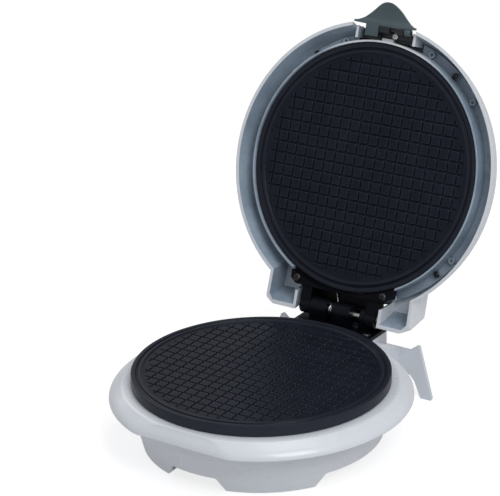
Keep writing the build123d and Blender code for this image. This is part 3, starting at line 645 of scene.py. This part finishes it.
def add_flap():
    """The latch flap: a curved bell-shaped sheet, its two knuckles and the arm under the left one."""
    shape = bmesh.new()
    flap_sheet(shape)
    bmesh.ops.recalc_face_normals(shape, faces=shape.faces)
    for start, end in FLAP_KNUCKLES:
        barrel(shape, start, end, KNUCKLE_R, KNUCKLE_BORE)
        soft_block(shape, (start, *KNUCKLE_WEB[0]), (end, *KNUCKLE_WEB[1]), 0.5 * MM)
    arm_start, arm_end = FLAP_KNUCKLES[0]
    soft_block(shape, (arm_start, *FLAP_ARM[0]), (arm_end, *FLAP_ARM[1]), 0.4 * MM)
    pivot = Vector(joint_entry("latch_pivot")["pos_m"])
    closed_place = Matrix.Translation(LID_OPEN.inverted() @ pivot)
    finish_piece("latch_flap_bell", shape, "latch", "latch_flap", "latch_grey",
                 LID_OPEN @ closed_place, sharp=50.0)


# ---------------------------------------------------------------- hinge spring
SPRING_TURNS = 2.25
SPRING_PITCH = 1.75 * MM
SPRING_R = 4.3 * MM
SPRING_START = -9.1 * MM    # where its turns begin beside the left knuckle
SPRING_WIRE_R = 0.65 * MM
SPRING_STEPS = 16           # points in each turn
SPRING_LEG = (              # from the pin
    Vector((-5.2 * MM, -4.5 * MM, 4.9 * MM)),
    Vector((-8.6 * MM, -12.5 * MM, 6.1 * MM)),
)


def bent_wire(name, points, radius, body, slot):
    """A round wire along a smooth line through points placed as in the closed lid."""
    curve = bpy.data.curves.new(name, "CURVE")
    curve.dimensions = "3D"
    curve.bevel_depth = radius
    curve.bevel_resolution = 5
    curve.use_fill_caps = True
    spline = curve.splines.new("NURBS")
    spline.points.add(len(points) - 1)
    for target, point in zip(spline.points, points):
        target.co = (*(LID_OPEN @ point), 1)
    spline.order_u = 3
    spline.use_endpoint_u = True
    curve.materials.append(LOOKS[slot])
    wire = bpy.data.objects.new(name, curve)
    bpy.context.scene.collection.objects.link(wire)
    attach(wire, body)


def add_spring():
    """The lid's spring: turns round the hinge pin and a leg that bears on the lid's panel."""
    pin = Vector(joint_entry("lid_hinge")["pos_m"])
    steps = round(SPRING_TURNS * SPRING_STEPS)
    points = []
    for step in range(steps + 1):
        turned = SPRING_TURNS * step / steps
        angle = math.tau * (turned - 0.25 - SPRING_TURNS)
        along = SPRING_START + SPRING_PITCH * turned
        points.append(pin + Vector((along, SPRING_R * math.cos(angle), -SPRING_R * math.sin(angle))))
    points += [pin + point for point in SPRING_LEG]
    bent_wire("hinge_spring", points, SPRING_WIRE_R, "lid", "zinc_steel")


# ---------------------------------------------------------------- camera, light and floor
VIEW_AZIMUTH = 33.70
VIEW_ELEVATION = 21.69
VIEW_ROLL = -1.01
VIEW_DISTANCE = 1.5453
VIEW_LENS = 156.03
VIEW_TARGET = Vector((-0.00784, 0.0, 0.14854))
FLOOR_REACH = 6.0
# the floor's and the surround's own brightness: what lights the object, and what the camera sees
FLOOR_GLOW, FLOOR_SEEN = 0.24, 0.72
WORLD_LIGHT, WORLD_SEEN = 0.42, 1.0
LIGHT_AIM = (0, 0, 0.10)


def add_camera():
    """The camera at the product picture's viewing angle."""
    azimuth = math.radians(VIEW_AZIMUTH)
    elevation = math.radians(VIEW_ELEVATION)
    roll = math.radians(VIEW_ROLL)
    flat = math.cos(elevation)
    forward = Vector((-math.sin(azimuth) * flat, math.cos(azimuth) * flat, -math.sin(elevation)))
    level = Vector((math.cos(azimuth), math.sin(azimuth), 0))
    upright = level.cross(forward)
    right = level * math.cos(roll) + upright * math.sin(roll)
    up = upright * math.cos(roll) - level * math.sin(roll)
    data = bpy.data.cameras.new("camera")
    data.lens = VIEW_LENS
    data.sensor_width = 36
    data.sensor_fit = "HORIZONTAL"
    data.clip_end = 20
    camera = bpy.data.objects.new("camera", data)
    bpy.context.scene.collection.objects.link(camera)
    turn = Matrix((right, up, -forward)).transposed().to_4x4()
    camera.matrix_world = Matrix.Translation(VIEW_TARGET - forward * VIEW_DISTANCE) @ turn
    bpy.context.scene.camera = camera


def add_light(name, place, aim, size, power):
    """A soft rectangular light looking at a point."""
    data = bpy.data.lights.new(name, "AREA")
    data.shape = "RECTANGLE"
    data.size = size[0]
    data.size_y = size[1]
    data.energy = power
    light = bpy.data.objects.new(name, data)
    light.location = place
    light.rotation_euler = (Vector(aim) - Vector(place)).to_track_quat("-Z", "Y").to_euler()
    bpy.context.scene.collection.objects.link(light)


def add_floor():
    """A plain pale floor, not part of the object."""
    mesh = bpy.data.meshes.new("studio_floor")
    corners = [(x * FLOOR_REACH, y * FLOOR_REACH, 0) for x, y in ((-1, -1), (1, -1), (1, 1), (-1, 1))]
    mesh.from_pydata(corners, [], [(0, 1, 2, 3)])
    floor = bpy.data.objects.new("studio_floor", mesh)
    bpy.context.scene.collection.objects.link(floor)
    material, tree, shader = node_tree("floor_look")
    tint(tree, shader, noise(tree, 2, 2), (0.44, 0.44, 0.445), (0.46, 0.46, 0.465))
    shader.inputs["Roughness"].default_value = 0.9
    shader.inputs["Emission Color"].default_value = (1, 1, 1, 1)
    path = tree.nodes.new("ShaderNodeLightPath")
    glow = tree.nodes.new("ShaderNodeMapRange")
    glow.inputs["To Min"].default_value = FLOOR_GLOW
    glow.inputs["To Max"].default_value = FLOOR_SEEN
    link(tree, path.outputs["Is Camera Ray"], glow.inputs["Value"])
    link(tree, glow.outputs["Result"], shader.inputs["Emission Strength"])
    mesh.materials.append(material)


def add_world():
    """An even pale surround: its light on the object, and its own brightness as the backdrop."""
    world = bpy.data.worlds.new("studio")
    world.use_nodes = True
    tree = world.node_tree
    background = tree.nodes["Background"]
    background.inputs["Color"].default_value = (1, 1, 1, 1)
    path = tree.nodes.new("ShaderNodeLightPath")
    strength = tree.nodes.new("ShaderNodeMapRange")
    strength.inputs["To Min"].default_value = WORLD_LIGHT
    strength.inputs["To Max"].default_value = WORLD_SEEN
    link(tree, path.outputs["Is Camera Ray"], strength.inputs["Value"])
    link(tree, strength.outputs["Result"], background.inputs["Strength"])
    bpy.context.scene.world = world


dress_cad_nodes()
add_plates()
add_flap()
add_spring()
add_camera()
add_floor()
add_world()
add_light("key", (0.95, -0.55, 1.15), LIGHT_AIM, (0.7, 0.7), 9)
add_light("top", (0.1, 0.15, 1.5), LIGHT_AIM, (0.9, 0.6), 4)
add_light("rim", (-1.1, 0.5, 0.9), (0, 0.1, 0.15), (0.5, 0.9), 2)
bpy.context.scene.view_settings.view_transform = "Standard"
